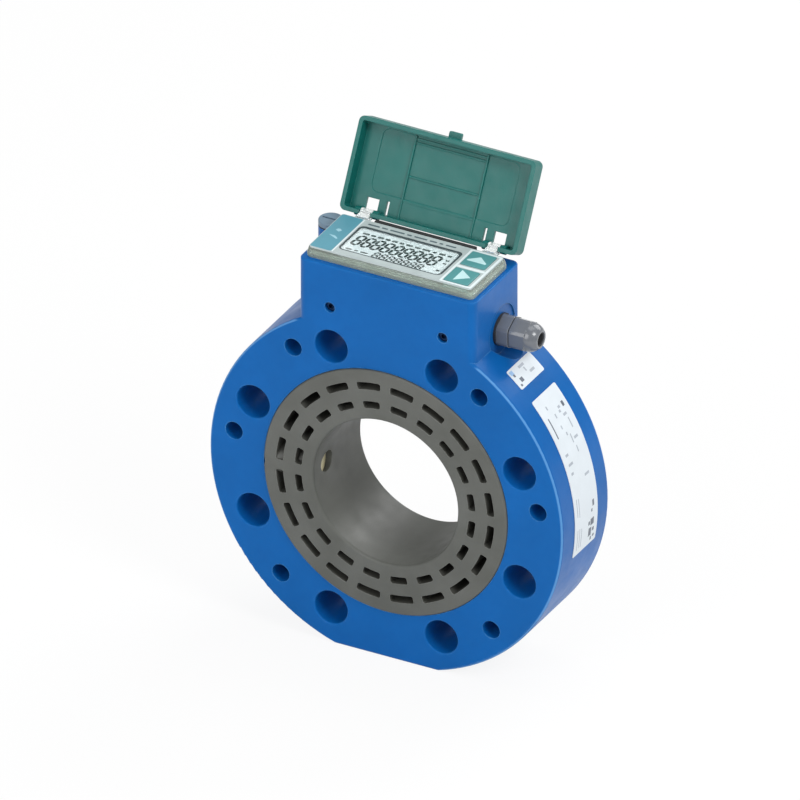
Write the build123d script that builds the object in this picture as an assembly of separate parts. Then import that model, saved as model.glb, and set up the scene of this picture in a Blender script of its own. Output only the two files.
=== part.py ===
from build123d import *
import math
import os

# Ultrasonic water meter, wafer type, for a DN80 pipe. Millimetres.
# Origin: on the bore axis, halfway through the casting. +Z up, -Y is the front face.

# Pipe bore, bolt circle and casting ring, from the inside out
flow_bore_r = 40.0
insert_wall = 27.5
insert_r = flow_bore_r + insert_wall
bolt_land = 3.5
bolt_count = 8
bolt_hole_r = 9.0
bolt_hole_round = 0.8
bolt_circle_r = insert_r + bolt_land + bolt_hole_r
rim_land = 9.0
body_r = bolt_circle_r + bolt_hole_r + rim_land
body_t = 48.0
half_t = body_t / 2
foot_cut = 4.3
foot_z = body_r - foot_cut
rim_round = 1.4

# Head block on top of the ring
head_w = 98.0
head_rise = 21.5
head_top = body_r + head_rise
head_corner = 4.0
head_top_round = 0.8
cavity_side_wall = 4.5
cavity_w = head_w - 2 * cavity_side_wall
cavity_front_wall = 6.5
cavity_rear_wall = 9.5
cavity_rear_step = 1.0
cavity_step_depth = 21.5
cavity_step_z = head_top - cavity_step_depth
cavity_depth = 31.5
cavity_floor_z = head_top - cavity_depth
cavity_side_step = 4.5
cavity_lower_w = cavity_w - 2 * cavity_side_step
cavity_corner = 3.0

# Screws that draw the clamp ring on, and the two that hold the display housing
screw_inset = 12.8
screw_circle_r = body_r - screw_inset
screw_angles = (52.7, 7.8, -46.7)
screw_bore_r = 4.75
screw_bore_depth = 20.0
screw_head_r = 4.25
screw_head_t = 5.0
screw_r = 2.5
screw_end_land = 1.0
head_screw_inset = 17.7
head_screw_x = head_w / 2 - head_screw_inset
head_screw_drop = 23.5
head_screw_z = head_top - head_screw_drop
head_screw_bore_r = 2.8
head_screw_bore_depth = 4.5
head_screw_head_r = 2.6
head_screw_head_t = 3.0
head_screw_r = 1.5
hole_gap = 0.3
thread_gap = 0.05
over = 1.0
skim = 0.1
same_size = 0.01

# Pipe insert
insert_proud = 1.0
insert_edge_round = 1.0
bore_edge_round = 1.5
collar_step = 1.7
collar_r = insert_r + collar_step
collar_front_y = -6.0
collar_back_y = 18.0
seat_gap = 0.2
pocket_count = 20
pocket_depth = 21.0
pocket_corner = 1.1
outer_pocket_land = 6.8
outer_pocket_t = 4.0
outer_pocket_len = 13.0
inner_pocket_land = 6.4
inner_pocket_t = 3.9
inner_pocket_len = 9.3
collar_seal_y = -3.2
collar_seal_w = 2.4
collar_seal_depth = 1.6

# Clamp ring and gasket in the back of the casting
clamp_land = 2.8
clamp_r = body_r - clamp_land
gasket_t = 1.0
foot_wall = 4.0

# Transducers, on the acoustic path: a level line through the origin
transducer_r = 5.5
transducer_recess = 3.2
transducer_face_s = flow_bore_r + transducer_recess
transducer_flange_depth = 9.5
transducer_flange_s = insert_r - transducer_flange_depth
transducer_flange_t = 3.0
transducer_flange_r = 6.3
transducer_boss_r = 7.9
transducer_seal_back = 4.0
transducer_seal_s = transducer_flange_s - transducer_seal_back
transducer_seal_w = 2.0
transducer_seal_depth = 0.9
retainer_t = 5.5
retainer_hole_r = 3.0
retainer_slot_w = 2.0
retainer_slot_depth = 1.5
seal_play = 0.1
path_gap = 0.1

# Leads from the transducers to the board. The path is turned so that it meets their depth
lead_r = 1.0
lead_way_r = 1.7
lead_inset = 6.2
lead_circle_r = body_r - lead_inset
lead_depth_y = collar_back_y - lead_way_r
lead_meets_path = 0.4
lead_top_angle = 79.0
lead_rise_y = 11.4

# Cable gland, axis along +X
gland_y = 5.0
gland_drop = 28.5
gland_z = head_top - gland_drop
spotface_r = 13.0
spotface_depth = 0.8
gland_thread_r = 6.0
gland_way_r = 4.5
gland_way_reach = 6.0
gland_way_end_x = cavity_lower_w / 2 - gland_way_reach
gland_washer_t = 1.4
gland_washer_r = 8.3
gland_hex_af = 15.6
gland_hex_t = 6.4
gland_nut_gap = 0.4
gland_nut_af = 15.0
gland_nut_t = 8.4
gland_mouth_r = 3.7
gland_seal_bore_r = 3.1
gland_stem_r = 5.0
gland_body_bore_r = 4.2
gland_corner_cut = 0.7
gland_seal_step = 1.5
gland_lip = 1.0
gland_seal_recess = 0.6
gland_thread_end_gap = 0.5

# Spare entry boss at the left rear, closed by a plug
boss_out = 3.9
boss_x = -head_w / 2 - boss_out
boss_r = 6.3
boss_y = half_t - boss_r
boss_drop = 3.9
boss_top = head_top - boss_drop
spare_hole_r = 4.0
spare_hole_depth = 14.0
spare_way_r = 2.0
plug_seal_t = 0.8
plug_head_t = 2.6
plug_shank_t = 9.0
plug_room_gap = 0.4
plug_round = 0.6
plug_slot_w = 1.2
plug_slot_depth = 1.0
plug_slot_share = 0.75

# Display housing on the head
gasket_land = 0.3
gasket_hole_gap = 0.1
display_gasket_t = 0.6
display_base = head_top + display_gasket_t
display_side_land = 2.5
display_w = head_w - 2 * display_side_land
display_front_land = 3.0
display_front_y = -half_t + display_front_land
display_back_land = 8.0
display_back_y = half_t - display_back_land
display_t = 4.6
display_top = display_base + display_t
display_corner = 2.5
display_chamfer_h = 3.0
display_chamfer_w = 1.0
display_room_corner = 1.0
display_wall = 1.6
display_plate_t = 1.8
display_ring_t = 0.8
stop_t = 2.15
stop_rise = 0.6
stop_round = 0.4
stop_side_gap = 1.0
skirt_gap = 0.3
skirt_t = 1.2
skirt_depth = 4.5
skirt_bottom_z = head_top - skirt_depth
leg_w = 5.4
leg_t = 3.1
leg_tail = 4.0
leg_bottom_z = head_screw_z - leg_tail

# Faceplate, window and keys
face_side_land = 1.5
face_w = display_w - 2 * face_side_land
face_front_land = 0.8
face_front_y = display_front_y + face_front_land
face_back_land = 1.2
face_back_y = display_back_y - face_back_land
face_t = 0.8
face_corner = 1.5
window_left_land = 13.4
window_right_land = 19.3
window_x = (-face_w / 2 + window_left_land, face_w / 2 - window_right_land)
window_front_land = 4.1
window_back_land = 5.4
window_y = (face_front_y + window_front_land, face_back_y - window_back_land)
window_corner = 3.0
window_ledge = 0.5
lens_t = 0.7
lens_gap = 0.1
key_side = 13.5
key_side_land = 2.8
key_x = face_w / 2 - key_side_land - key_side / 2
up_key_land = 2.3
up_key_y = face_back_y - up_key_land - key_side / 2
right_key_land = 1.8
right_key_y = face_front_y + right_key_land + key_side / 2
key_gap = 0.2
key_proud = 0.5
key_corner = 0.8
key_flange = 0.45
key_flange_t = 0.9
key_flange_gap = 0.1
key_travel = 0.8
key_stem_r = 2.0
key_round = 0.35

# Display glass, board and battery
lcd_lower_t = 1.6
lcd_ledge = 1.9
lcd_gap = 0.3
lcd_sunk = 0.2
board_drop = 5.5
board_top = head_top - board_drop
board_t = 1.6
board_gap = 0.3
board_screw_inset = 3.4
board_screw_step = 12.0
board_screw_y = (-12.3, 10.4)
board_screw_r = 1.0
board_screw_head_r = 1.9
board_screw_head_t = 1.4
board_screw_depth = 8.0
board_screw_slot = (2.8, 0.5, 0.6)
post_r = 2.3
strip_inset = 5.0
strip_x = (window_x[0] + strip_inset, window_x[1] - strip_inset)
strip_w = 1.8
strip_y = (-15.0, 4.0)
switch_side = 4.5
switch_t = 3.1
switch_button_r = 1.5
switch_button_t = 0.6
battery_r = 7.25
battery_len = 50.5
battery_y = -2.0
battery_round = 0.6
battery_tip_r = 2.9
battery_tip_t = 1.2
cradle_t = 1.5
cradle_gap = 0.3
cradle_wall = 1.5
cradle_wall_h = 12.0
cradle_wall_w = 11.6
cradle_way_half = 3.0
saddle_x = 15.0
saddle_t = 4.0
battery_gap = 0.1

# Lid, drawn closed and then swung open about the hinge axis
lid_w = head_w
lid_front_land = 0.4
lid_front_y = -half_t + lid_front_land
lid_back_y = half_t
lid_gap = 0.3
lid_bottom = head_top + lid_gap
lid_h = 9.2
lid_top = lid_bottom + lid_h
lid_wall = 2.2
lid_floor = 2.0
lid_corner = 3.0
lid_inner_corner = 1.2
lid_edge_round = 1.0
lid_open_angle = 118.0
hinge_drop = 0.5
hinge_z = display_top - hinge_drop
lug_inset = 13.6
lug_x = head_w / 2 - lug_inset
lug_w = 6.3
lug_r = 2.3
lug_arm_top = display_top + hinge_drop
lug_side_gap = 0.3
slot_len = 8.7
slit_step = 8.3
slit_x = lug_x - slit_step
slit_w = 1.7
slit_len = 6.8
knuckle_r = 2.2
knuckle_w = 3.0
knuckle_sink = 0.5
pin_r = 0.9
pin_fit_gap = 0.02
pin_run_gap = 0.05
pin_hole_over = 0.5
tab_w = 6.8
tab_len = 3.0
tab_t = 2.2
tab_corner = 0.8
tab_step = 0.2
rib_h = 0.5
rib_w = 0.9
lid_rib_x = 20.0
lid_cross_rib_y = (13.0, 0.5, -16.6, -18.6)
lid_panel_step = 0.4
lid_panel_side_land = 11.0
lid_panel_x = lid_w / 2 - lid_panel_side_land
lid_panel_front_land = 3.6
lid_panel_back_land = 12.0
lid_panel_y = (lid_front_y + lid_panel_front_land, lid_back_y - lid_panel_back_land)
lid_panel_corner = 4.0

# Labels on the rim: start angle, end angle
label_t = 0.25
label_gap = 0.05
label_front_land = 12.7
label_back_land = 12.0
label_y = (-half_t + label_front_land, half_t - label_back_land)
label_corner = 1.0
rating_label_span = (-10.4, 41.0)
inspection_label_span = (45.6, 52.4)

# Worked-out values
insert_half = half_t + insert_proud
cavity_front_y = -half_t + cavity_front_wall
cavity_back_y = half_t - cavity_rear_wall
cavity_lower_back_y = cavity_back_y - cavity_rear_step
casting_seat_r = collar_r + seat_gap
clamp_seat_r = clamp_r + hole_gap
clamp_front_y = collar_back_y + gasket_t
spotface_x = head_w / 2 - spotface_depth
plate_under = display_top - display_plate_t
face_top = display_top + face_t
hinge_y = lid_back_y - lid_wall / 2
board_bottom = board_top - board_t
gland_dome_t = math.sqrt((gland_nut_af / 2) ** 2 - (gland_mouth_r + gland_lip) ** 2)
cradle_floor_top = cavity_floor_z + cradle_t
cradle_wall_top = cavity_floor_z + cradle_wall_h
battery_z = cradle_floor_top + battery_gap + battery_r
outer_pocket_r = insert_r - outer_pocket_land - outer_pocket_t
outer_pocket = (outer_pocket_r, outer_pocket_r + outer_pocket_t, outer_pocket_len)
inner_pocket_r = flow_bore_r + inner_pocket_land
inner_pocket = (inner_pocket_r, inner_pocket_r + inner_pocket_t, inner_pocket_len)
board_screw_x = cavity_lower_w / 2 - board_screw_inset
board_screw_spots = (
    (-board_screw_x, board_screw_y[0]),
    (board_screw_x - board_screw_step, board_screw_y[0]),
    (-board_screw_x, board_screw_y[1]),
    (board_screw_x, board_screw_y[1]),
)
retainer_s = transducer_flange_s + transducer_flange_t
retainer_end_s = retainer_s + retainer_t
path_angle = math.degrees(math.asin(lead_depth_y / (retainer_s + lead_meets_path)))


def block(x0, x1, y0, y1, z0, z1):
    """Box between two corners."""
    middle = Pos((x0 + x1) / 2, (y0 + y1) / 2, (z0 + z1) / 2)
    return middle * Box(x1 - x0, y1 - y0, z1 - z0)


def plate(x0, x1, y0, y1, z0, z1, corner):
    """Box with rounded upright corners."""
    outline = RectangleRounded(x1 - x0, y1 - y0, corner)
    middle = Pos((x0 + x1) / 2, (y0 + y1) / 2, z0)
    return middle * extrude(outline, amount=z1 - z0)


def rod_x(radius, x0, x1, y=0, z=0):
    """Cylinder along X."""
    return Pos((x0 + x1) / 2, y, z) * Rot(0, 90, 0) * Cylinder(radius, x1 - x0)


def rod_y(radius, y0, y1, x=0, z=0):
    """Cylinder along Y."""
    return Pos(x, (y0 + y1) / 2, z) * Rot(90, 0, 0) * Cylinder(radius, y1 - y0)


def rod_z(radius, z0, z1, x=0, y=0):
    """Cylinder along Z."""
    return Pos(x, y, (z0 + z1) / 2) * Cylinder(radius, z1 - z0)


def hex_x(across_flats, x0, x1, y, z):
    """Hexagonal bar along X."""
    outline = RegularPolygon(across_flats / math.sqrt(3), 6)
    return Pos(x0, y, z) * Rot(0, 90, 0) * extrude(outline, amount=x1 - x0)


def round_edges(solid, edges, radius):
    """Solid with the listed edges rounded."""
    return fillet(ShapeList(edges), radius)


def bolt_spots():
    """Centres of the flange bolt holes, straddling the upright."""
    step = 360 / bolt_count
    angles = [math.radians(step / 2 + step * k) for k in range(bolt_count)]
    return [(bolt_circle_r * math.cos(a), bolt_circle_r * math.sin(a)) for a in angles]


def screw_spots():
    """Centres of the clamp screws, right side and left side."""
    right = [(math.cos(math.radians(a)), math.sin(math.radians(a))) for a in screw_angles]
    return [(side * screw_circle_r * c, screw_circle_r * s) for side in (1, -1) for c, s in right]


def above_foot(solid, flat_z):
    """Solid cut off level below flat_z."""
    return solid - block(-2 * body_r, 2 * body_r, -body_t, body_t, -2 * body_r, flat_z)


def on_path(solid, side):
    """Solid drawn along +X, laid on the acoustic path. Side 1 is right, -1 left."""
    return Rot(0, 0, path_angle if side > 0 else path_angle + 180) * solid


def display_insides(wall, z0, z1):
    """Room inside the outer wall of the display housing."""
    half = display_w / 2 - wall
    return plate(-half, half, display_front_y + wall, display_back_y - wall, z0, z1, display_room_corner)


# Casting


def ring_body():
    """Ring with its foot flat and eased rim edges."""
    ring = above_foot(rod_y(body_r, -half_t, half_t), -foot_z)
    ends = ring.faces().filter_by(Axis.Y)
    edges = [edge for face in ends for edge in face.edges()]
    return round_edges(ring, edges, rim_round)


def head_body():
    """Head block, standing in the ring."""
    half = head_w / 2
    head = plate(-half, half, -half_t, half_t, insert_r, head_top, head_corner)
    top_edges = head.faces().sort_by(Axis.Z)[-1].edges()
    return round_edges(head, top_edges, head_top_round)


def spare_entry_boss():
    """Round boss beside the left rear corner of the head."""
    root = math.sqrt(body_r**2 - (abs(boss_x) + boss_r) ** 2) - boss_r
    return rod_z(boss_r, root, boss_top, boss_x, boss_y)


def cavity():
    """Room for the electronics, wide above the step and narrow below."""
    half = cavity_w / 2
    low = cavity_lower_w / 2
    top = head_top + over
    upper = plate(-half, half, cavity_front_y, cavity_back_y, cavity_step_z, top, cavity_corner)
    lower = plate(-low, low, cavity_front_y, cavity_lower_back_y, cavity_floor_z, top, cavity_corner)
    return upper + lower


def lead_groove(side):
    """Arc groove under the gasket, from the side up to the head, and its hole into the cavity."""
    depth = collar_back_y - lead_depth_y + lead_way_r
    outline = Pos(lead_circle_r, collar_back_y - depth / 2) * Rectangle(2 * lead_way_r, depth)
    arc = revolve(outline, Axis.Y, -lead_top_angle)
    top = math.radians(lead_top_angle)
    x = lead_circle_r * math.cos(top)
    z = lead_circle_r * math.sin(top)
    rise = rod_y(lead_way_r, cavity_lower_back_y - over, collar_back_y, x, z)
    groove = arc + rise
    return groove if side > 0 else mirror(groove, Plane.YZ)


def lead_ways():
    """Ways for the transducer leads, from the insert seat to the grooves."""
    end = lead_circle_r + lead_way_r
    right = block(
        insert_r, end, lead_depth_y - lead_way_r, collar_back_y, -lead_way_r, lead_way_r
    )
    left = rod_x(lead_way_r, -end, -insert_r, -lead_depth_y)
    along = rod_y(lead_way_r, -lead_depth_y - lead_way_r, collar_back_y, -lead_circle_r)
    return [right, left, along, lead_groove(1), lead_groove(-1)]


def gland_ways():
    """Spotface, threaded hole and cable way of the gland."""
    face = rod_x(spotface_r, spotface_x, body_r, gland_y, gland_z)
    wall_x = cavity_lower_w / 2
    thread = rod_x(gland_thread_r + thread_gap, wall_x, spotface_x + over, gland_y, gland_z)
    way = rod_x(gland_way_r, gland_way_end_x, wall_x + over, gland_y, gland_z)
    return [face, thread, way]


def spare_entry_ways():
    """Room for the plug's head beside the head block, blind hole, and small way to the cavity."""
    room = rod_z(boss_r + plug_room_gap, boss_top, 2 * head_top, boss_x, boss_y)
    bottom = boss_top - spare_hole_depth
    hole = rod_z(spare_hole_r + thread_gap, bottom, boss_top + over, boss_x, boss_y)
    z = bottom + spare_way_r
    y = cavity_back_y - spare_way_r
    way = rod_x(spare_way_r, boss_x, -cavity_w / 2 + over, y, z)
    return [room, hole, way]


def housing():
    """Blue casting: ring and head in one piece."""
    solid = ring_body() + head_body() + spare_entry_boss()
    recess = above_foot(rod_y(clamp_seat_r, collar_back_y, body_t), -foot_z + foot_wall)
    cuts = [
        rod_y(insert_r + seat_gap, -body_t, 0),
        rod_y(casting_seat_r, collar_front_y, collar_back_y + over),
        recess,
        cavity(),
    ]
    cuts += [rod_y(bolt_hole_r, -body_t, body_t, x, z) for x, z in bolt_spots()]
    floor = -half_t + screw_bore_depth
    for x, z in screw_spots():
        cuts.append(rod_y(screw_bore_r, -body_t, floor, x, z))
        cuts.append(rod_y(screw_r + hole_gap, floor - over, body_t, x, z))
    floor = -half_t + head_screw_bore_depth
    for x in (-head_screw_x, head_screw_x):
        cuts.append(rod_y(head_screw_bore_r, -body_t, floor, x, head_screw_z))
        cuts.append(rod_y(head_screw_r + hole_gap, floor - over, 0, x, head_screw_z))
    cuts += lead_ways() + gland_ways() + spare_entry_ways()
    solid = solid - cuts
    mouths = solid.edges().filter_by(GeomType.CIRCLE)
    mouths = [e for e in mouths if abs(e.radius - bolt_hole_r) < same_size]
    mouths = [e for e in mouths if e.center().Y < -half_t + same_size]
    return round_edges(solid, mouths, bolt_hole_round)


def ring_with_holes(outer_r, inner_r, y0, y1, screw_hole_r):
    """Flat ring for the back recess, with the bolt and screw holes."""
    ring = rod_y(outer_r, y0, y1) - rod_y(inner_r, y0 - over, y1 + over)
    ring = above_foot(ring, -foot_z + foot_wall + hole_gap)
    holes = [rod_y(bolt_hole_r, y0 - over, y1 + over, x, z) for x, z in bolt_spots()]
    holes += [rod_y(screw_hole_r, y0 - over, y1 + over, x, z) for x, z in screw_spots()]
    return ring - holes


def rear_clamp_ring():
    """Ring that holds the insert in, flush with the back of the casting."""
    return ring_with_holes(clamp_r, insert_r + seat_gap, clamp_front_y, half_t, screw_r + thread_gap)


def rear_gasket():
    """Flat gasket between the casting, the insert's collar and the clamp ring."""
    inner_r = insert_r + 2 * seat_gap
    return ring_with_holes(clamp_r - hole_gap, inner_r, collar_back_y, clamp_front_y, screw_r + hole_gap)


def cap_screw(head_r, head_t, shank_r, head_y, end_y, x, z):
    """Socket screw along Y with its head to the front. head_y is the underside of the head."""
    head = rod_y(head_r, head_y - head_t, head_y, x, z)
    shank = rod_y(shank_r, head_y, end_y, x, z)
    key = RegularPolygon(shank_r, 6)
    socket = Pos(x, head_y - head_t / 2, z) * Rot(90, 0, 0) * extrude(key, amount=head_t)
    return head + shank - socket


def housing_screws():
    """Six screws that draw the clamp ring to the casting."""
    head_y = -half_t + screw_bore_depth
    end = half_t - screw_end_land
    return [
        cap_screw(screw_head_r, screw_head_t, screw_r, head_y, end, x, z) for x, z in screw_spots()
    ]


def head_screws():
    """Two screws through the front of the head into the display housing's legs."""
    head_y = -half_t + head_screw_bore_depth
    end = cavity_front_y + skirt_gap + leg_t
    return [
        cap_screw(head_screw_head_r, head_screw_head_t, head_screw_r, head_y, end, x, head_screw_z)
        for x in (-head_screw_x, head_screw_x)
    ]


# Insert and transducers


def pocket(r_in, r_out, length, angle):
    """One pocket: part of a ring with rounded corners, drawn through the front half."""
    half = math.degrees(length / (r_in + r_out))
    outer = CenterArc((0, 0), r_out, angle - half, 2 * half)
    inner = CenterArc((0, 0), r_in, angle - half, 2 * half)
    sides = [Line(outer @ 0, inner @ 0), Line(outer @ 1, inner @ 1)]
    outline = make_face([outer, inner] + sides)
    outline = fillet(outline.vertices(), pocket_corner)
    front = Plane.XZ.offset(insert_half - pocket_depth)
    return front * extrude(outline, amount=pocket_depth + over)


def insert_pockets():
    """Both rings of pockets, in the front face and in the back face."""
    step = 360 / pocket_count
    front = []
    for k in range(pocket_count):
        front.append(pocket(*outer_pocket, step / 2 + step * k))
        front.append(pocket(*inner_pocket, step / 2 + step * k))
    return front + [mirror(solid, Plane.XZ) for solid in front]


def transducer_holes(side):
    """Stepped hole of one transducer, from the bore out."""
    nose = rod_x(transducer_r + path_gap, flow_bore_r / 2, transducer_flange_s + over)
    seat = rod_x(transducer_flange_r + path_gap, transducer_flange_s, body_r)
    return [on_path(nose, side), on_path(seat, side)]


def flow_insert():
    """Moulded insert: flow bore, sealing faces, collar, pockets and transducer bosses."""
    tube = rod_y(insert_r, -insert_half, insert_half)
    rims = tube.edges().filter_by(GeomType.CIRCLE)
    shell = round_edges(tube, rims, insert_edge_round) + rod_y(collar_r, collar_front_y, collar_back_y)
    shell = shell - rod_y(flow_bore_r, -body_t, body_t)
    mouths = shell.edges().filter_by(GeomType.CIRCLE)
    mouths = [e for e in mouths if abs(e.radius - flow_bore_r) < same_size]
    shell = round_edges(shell, mouths, bore_edge_round)
    solid = shell - insert_pockets()
    for side in (1, -1):
        boss = on_path(rod_x(transducer_boss_r, flow_bore_r / 2, body_r), side)
        solid = solid + (boss & shell)
    seal_room = rod_y(collar_r + over, collar_seal_y - collar_seal_w / 2, collar_seal_y + collar_seal_w / 2)
    seal_room = seal_room - rod_y(collar_r - collar_seal_depth, -body_t, body_t)
    return solid - ([seal_room] + transducer_holes(1) + transducer_holes(-1))


def collar_seal():
    """Seal ring in the groove of the insert's collar."""
    half = collar_seal_w / 2 - seal_play
    ring = rod_y(collar_r + seat_gap / 2, collar_seal_y - half, collar_seal_y + half)
    return ring - rod_y(collar_r - collar_seal_depth + seal_play / 2, -body_t, body_t)


def transducer(side):
    """Transducer: round nose with a seal groove and a flange at the back."""
    nose = rod_x(transducer_r, transducer_face_s, transducer_flange_s)
    flange = rod_x(transducer_flange_r, transducer_flange_s, retainer_s)
    half = transducer_seal_w / 2
    room = rod_x(transducer_r + over, transducer_seal_s - half, transducer_seal_s + half)
    room = room - rod_x(transducer_r - transducer_seal_depth, 0, body_r)
    return on_path(nose + flange - room, side)


def transducer_seal(side):
    """Seal ring round a transducer's nose."""
    half = transducer_seal_w / 2 - seal_play
    outer_r = transducer_r + path_gap / 2
    ring = rod_x(outer_r, transducer_seal_s - half, transducer_seal_s + half)
    ring = ring - rod_x(transducer_r - transducer_seal_depth + seal_play / 2, 0, body_r)
    return on_path(ring, side)


def transducer_retainer(side):
    """Screwed ring that holds a transducer in its seat."""
    ring = rod_x(transducer_flange_r, retainer_s, retainer_end_s)
    ring = ring - rod_x(retainer_hole_r, 0, body_r)
    half = retainer_slot_w / 2
    slot = block(retainer_end_s - retainer_slot_depth, body_r, -body_r, body_r, -half, half)
    return on_path(ring - slot, side)


def transducer_lead(side):
    """Lead from a transducer, out through the wall, round the groove and up to the board."""
    start_x = (retainer_s - transducer_flange_t / 2) * math.cos(math.radians(path_angle))
    top = math.radians(lead_top_angle)
    top_x = lead_circle_r * math.cos(top)
    top_z = lead_circle_r * math.sin(top)
    out = rod_x(lead_r, start_x, lead_circle_r, lead_depth_y * side)
    corner = Pos(lead_circle_r, lead_depth_y, 0) * Sphere(lead_r)
    arc = revolve(Pos(lead_circle_r, lead_depth_y) * Circle(lead_r), Axis.Y, -lead_top_angle)
    arc_end = Pos(top_x, lead_depth_y, top_z) * Sphere(lead_r)
    inward = rod_y(lead_r, lead_rise_y, lead_depth_y, top_x, top_z)
    foot = Pos(top_x, lead_rise_y, top_z) * Sphere(lead_r)
    rise = rod_z(lead_r, top_z, board_bottom, top_x, lead_rise_y)
    lead = out + corner + arc + arc_end + inward + foot + rise
    if side < 0:
        along = rod_y(lead_r, -lead_depth_y, lead_depth_y, lead_circle_r)
        first = Pos(lead_circle_r, -lead_depth_y, 0) * Sphere(lead_r)
        lead = mirror(lead + along + first, Plane.YZ)
    return lead - transducer(side)


# Cable gland and plug


def gland_washer():
    """Seal washer between the gland and the spotface."""
    end = spotface_x + gland_washer_t
    ring = rod_x(gland_washer_r, spotface_x, end, gland_y, gland_z)
    return ring - rod_x(gland_thread_r + hole_gap, 0, body_r, gland_y, gland_z)


def gland_body():
    """Gland body: thread in the wall, hexagon, and the stem inside the nut."""
    hex_x0 = spotface_x + gland_washer_t
    hex_x1 = hex_x0 + gland_hex_t
    stem_end = hex_x1 + gland_nut_gap + gland_nut_t / 2
    thread = rod_x(gland_thread_r, cavity_lower_w / 2 + gland_thread_end_gap, hex_x0, gland_y, gland_z)
    flats = hex_x(gland_hex_af, hex_x0, hex_x1, gland_y, gland_z)
    round_r = gland_hex_af / 2 + gland_corner_cut
    flats = flats & rod_x(round_r, hex_x0, hex_x1, gland_y, gland_z)
    stem = rod_x(gland_stem_r, hex_x1, stem_end, gland_y, gland_z)
    solid = thread + flats + stem
    return solid - rod_x(gland_body_bore_r, 0, body_r, gland_y, gland_z)


def gland_nut():
    """Domed nut with six flats and a round mouth."""
    x0 = spotface_x + gland_washer_t + gland_hex_t + gland_nut_gap
    x1 = x0 + gland_nut_t
    x2 = x1 + gland_dome_t
    dome_r = gland_nut_af / 2
    lip_r = gland_mouth_r + gland_lip
    turn = math.acos(lip_r / dome_r) / 2
    round_r = dome_r + gland_corner_cut
    flats = hex_x(gland_nut_af, x0, x1, gland_y, gland_z) & rod_x(round_r, x0, x1, gland_y, gland_z)
    profile = [
        Line((x1, 0), (x1, dome_r)),
        ThreePointArc((x1, dome_r), (x1 + dome_r * math.sin(turn), dome_r * math.cos(turn)), (x2, lip_r)),
        Line((x2, lip_r), (x2, 0)),
        Line((x2, 0), (x1, 0)),
    ]
    dome = Pos(0, gland_y, gland_z) * revolve(make_face(profile), Axis.X)
    solid = flats + dome
    mouth = rod_x(gland_mouth_r, 0, 2 * body_r, gland_y, gland_z)
    room = rod_x(gland_stem_r + thread_gap, 0, x1 + gland_seal_step, gland_y, gland_z)
    return solid - [mouth, room]


def gland_seal():
    """Rubber sleeve that grips the cable inside the nut."""
    x0 = spotface_x + gland_washer_t + gland_hex_t + gland_nut_gap
    start = x0 + gland_nut_t / 2
    shoulder = x0 + gland_nut_t + gland_seal_step
    end = x0 + gland_nut_t + gland_dome_t - gland_seal_recess
    wide = rod_x(gland_stem_r - seal_play, start, shoulder, gland_y, gland_z)
    narrow = rod_x(gland_mouth_r - seal_play, shoulder, end, gland_y, gland_z)
    return wide + narrow - rod_x(gland_seal_bore_r, 0, 2 * body_r, gland_y, gland_z)


def blanking_seal():
    """Seal washer under the plug's head."""
    ring = rod_z(boss_r - seal_play, boss_top, boss_top + plug_seal_t, boss_x, boss_y)
    return ring - rod_z(spare_hole_r + hole_gap, 0, 2 * body_r, boss_x, boss_y)


def blanking_plug():
    """Round-headed plug in the spare entry, with a slot across its head."""
    under = boss_top + plug_seal_t
    head = rod_z(boss_r, under, under + plug_head_t, boss_x, boss_y)
    head = round_edges(head, head.faces().sort_by(Axis.Z)[-1].edges(), plug_round)
    shank = rod_z(spare_hole_r, under - plug_shank_t, under, boss_x, boss_y)
    slot_top = under + plug_head_t
    half = boss_r * plug_slot_share
    wide = plug_slot_w / 2
    slot_bottom = slot_top - plug_slot_depth
    slot = block(
        boss_x - half, boss_x + half, boss_y - wide, boss_y + wide, slot_bottom, slot_top + over
    )
    return head + shank - slot


# Display housing and what it holds


def skirt():
    """Locating skirt of the display housing, inside the cavity mouth."""
    half = cavity_w / 2 - skirt_gap
    front = cavity_front_y + skirt_gap
    back = cavity_back_y - skirt_gap
    top = display_base + display_ring_t
    outer = plate(-half, half, front, back, skirt_bottom_z, top, cavity_corner - skirt_gap)
    room = plate(
        -half + skirt_t, half - skirt_t, front + skirt_t, back - skirt_t, 0, 2 * head_top, skirt_t
    )
    return outer - room


def skirt_leg(x):
    """Leg that the head screw holds."""
    front = cavity_front_y + skirt_gap
    top = display_base + display_ring_t
    return block(x - leg_w / 2, x + leg_w / 2, front, front + leg_t, leg_bottom_z, top)


def hinge_lug(x):
    """Arm and barrel that carry the hinge pin."""
    half = lug_w / 2
    under = hinge_z - lug_r
    arm = block(x - half, x + half, display_back_y - display_wall / 2, hinge_y, under, lug_arm_top)
    barrel = rod_x(lug_r, x - half, x + half, hinge_y, hinge_z)
    return arm + barrel - rod_x(pin_r + pin_run_gap, x - lug_w, x + lug_w, hinge_y, hinge_z)


def key_opening(y):
    """Square opening for a key, through the plates."""
    half = key_side / 2 + key_gap
    corner = key_corner + key_gap
    z0 = plate_under - over
    return plate(key_x - half, key_x + half, y - half, y + half, z0, face_top + over, corner)


def window_opening(inset, z0, z1):
    """Opening of the display window, made smaller all round by inset."""
    x0, x1 = window_x
    y0, y1 = window_y
    return plate(x0 + inset, x1 - inset, y0 + inset, y1 - inset, z0, z1, window_corner - inset)


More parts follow.
